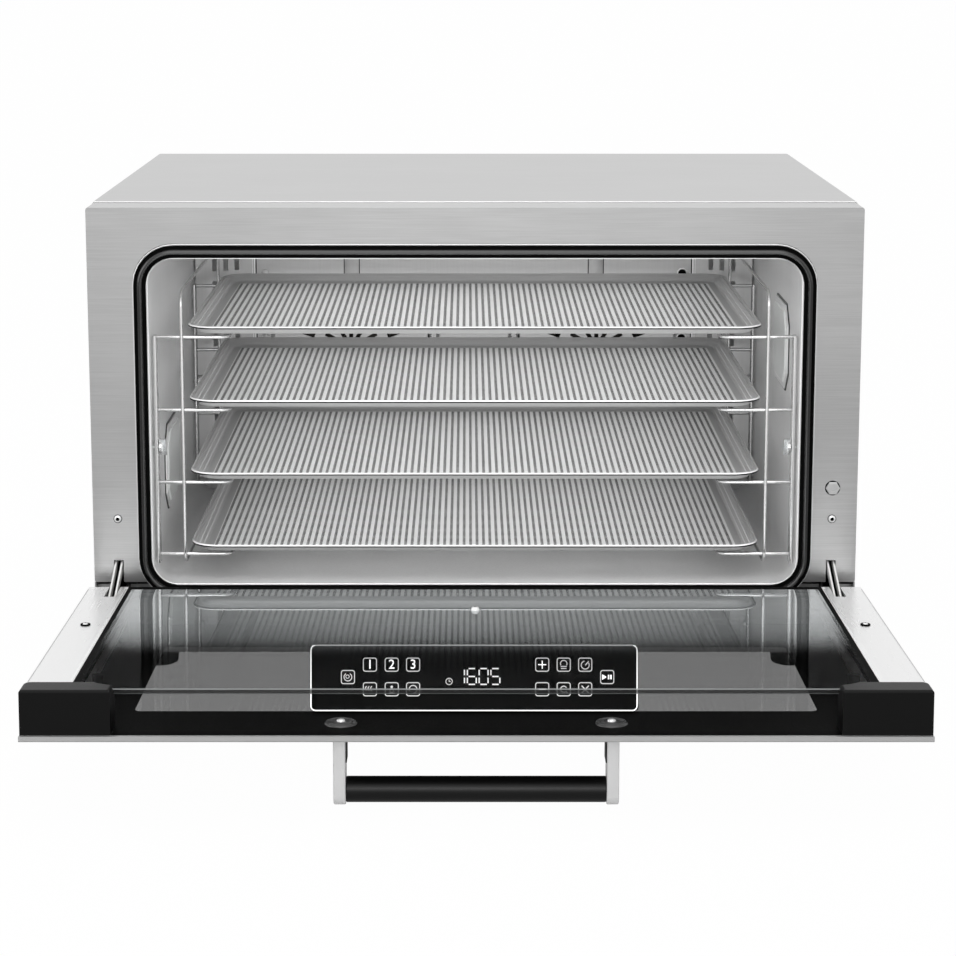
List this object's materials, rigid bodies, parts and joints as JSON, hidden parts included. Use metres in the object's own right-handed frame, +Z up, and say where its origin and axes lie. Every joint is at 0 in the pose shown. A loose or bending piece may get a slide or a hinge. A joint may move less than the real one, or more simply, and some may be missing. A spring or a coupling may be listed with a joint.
{
  "type": "convection oven",
  "caption": "Countertop convection oven with a drop-down glass door, wire racks, perforated baking trays and rear fans.",
  "frame": {"origin": "centre of the bounding box on the floor plane, under the open oven", "axes": "+Z up, +Y from the door towards the back, +X to the right seen from the front"},
  "size_m": [0.8, 1.0631, 0.5],
  "materials": {
    "casing_steel": "fine brushed",
    "front_steel": "horizontally brushed",
    "galvanised_steel": "zinc coated",
    "foot_rubber": "matt moulded",
    "liner_steel": "bright annealed",
    "mineral_wool": "fibrous",
    "gasket_rubber": "satin extruded silicone",
    "rack_wire": "electropolished",
    "bright_fasteners": "bright",
    "lamp_glass": "clear",
    "bulb_glass": "frosted",
    "fan_steel": "satin",
    "motor_casting": "cast",
    "heater_sheath": "oxidised sheath",
    "tray_aluminium": "pressed, perforated",
    "black_plastic": "fine moulded grain",
    "board_plastic": "coated board",
    "hinge_steel": "zinc plated",
    "tinted_glass": "dark printed border",
    "clear_glass": "clear tempered",
    "door_trim": "satin anodised",
    "black_steel": "satin black",
    "door_rail_steel": "satin",
    "panel_gloss": "gloss",
    "bracket_aluminium": "satin anodised",
    "grip_plastic": "fine moulded grain"
  },
  "bodies": {
    "cabinet": {"back_panel": "galvanised_steel", "base_plate": "galvanised_steel", "cable_gland": "black_plastic", "door_gasket": "gasket_rubber", "fan_baffle": "liner_steel", "feet": "foot_rubber", "frame_screws": "bright_fasteners", "front_frame": "front_steel", "hex_plug": "bright_fasteners", "insulation": "mineral_wool", "lamp_bulbs": "bulb_glass", "lamp_glasses": "lamp_glass", "lamp_housings": "liner_steel", "lamp_seals": "gasket_rubber", "left_fan_motor": "motor_casting", "left_hinge_box": "hinge_steel", "left_rack": "rack_wire", "left_ring_heater": "heater_sheath", "lower_fascia": "front_steel", "outer_shell": "casing_steel", "oven_liner": "liner_steel", "power_board": "board_plastic", "rack_screws": "bright_fasteners", "right_fan_motor": "motor_casting", "right_hinge_box": "hinge_steel", "right_rack": "rack_wire", "right_ring_heater": "heater_sheath", "steam_outlet": "liner_steel", "temperature_probe": "bright_fasteners", "terminal_block": "board_plastic"},
    "door": {"outer_glass": "tinted_glass", "door_top_trim": "door_trim", "inner_glass": "clear_glass", "inner_glass_seal": "black_plastic", "door_bottom_channel": "black_steel", "left_door_rail": "door_rail_steel", "right_door_rail": "door_rail_steel", "left_corner_cap": "black_plastic", "right_corner_cap": "black_plastic", "hinge_pins": "hinge_steel", "stay_pins": "hinge_steel", "rail_screws": "bright_fasteners", "glass_spacers": "black_plastic", "control_panel": "panel_gloss", "glass_button": "bright_fasteners", "handle_brackets": "bracket_aluminium", "handle_grip": "grip_plastic", "handle_washers": "gasket_rubber", "handle_screws": "bright_fasteners"},
    "left_stay": {"left_stay_arm": "hinge_steel"},
    "right_stay": {"right_stay_arm": "hinge_steel"},
    "left_fan": {"left_fan_wheel": "fan_steel"},
    "right_fan": {"right_fan_wheel": "fan_steel"},
    "tray_1": {"tray_1": "tray_aluminium"},
    "tray_2": {"tray_2": "tray_aluminium"},
    "tray_3": {"tray_3": "tray_aluminium"},
    "tray_4": {"tray_4": "tray_aluminium"}
  },
  "joints": [
    {"name": "door_hinge", "type": "hinge", "parent": "cabinet", "child": "door", "pos_m": [0, -0.13043, 0.08], "axis": [1, 0, 0], "range_deg": [-88.2, 0]},
    {"name": "left_stay_pivot", "type": "hinge", "parent": "door", "child": "left_stay", "pos_m": [-0.373, -0.15944, 0.09302], "axis": [1, 0, 0], "range_deg": [0, 71.8]},
    {"name": "right_stay_pivot", "type": "hinge", "parent": "door", "child": "right_stay", "pos_m": [0.373, -0.15944, 0.09302], "axis": [1, 0, 0], "range_deg": [0, 71.8]},
    {"name": "tray_1_slide", "type": "slide", "parent": "cabinet", "child": "tray_1", "axis": [0, -1, 0], "range_m": [0, 0.36]},
    {"name": "tray_2_slide", "type": "slide", "parent": "cabinet", "child": "tray_2", "axis": [0, -1, 0], "range_m": [0, 0.36]},
    {"name": "tray_3_slide", "type": "slide", "parent": "cabinet", "child": "tray_3", "axis": [0, -1, 0], "range_m": [0, 0.36]},
    {"name": "tray_4_slide", "type": "slide", "parent": "cabinet", "child": "tray_4", "axis": [0, -1, 0], "range_m": [0, 0.36]},
    {"name": "left_fan_spin", "type": "hinge", "parent": "cabinet", "child": "left_fan", "pos_m": [-0.15, 0.39256, 0.274], "axis": [0, 1, 0], "continuous": true},
    {"name": "right_fan_spin", "type": "hinge", "parent": "cabinet", "child": "right_fan", "pos_m": [0.15, 0.39256, 0.274], "axis": [0, 1, 0], "continuous": true}
  ],
  "couplings": [
    {"joint": "left_stay_pivot", "follows": "door_hinge", "ratio": -0.8118},
    {"joint": "right_stay_pivot", "follows": "door_hinge", "ratio": -0.8118}
  ]
}
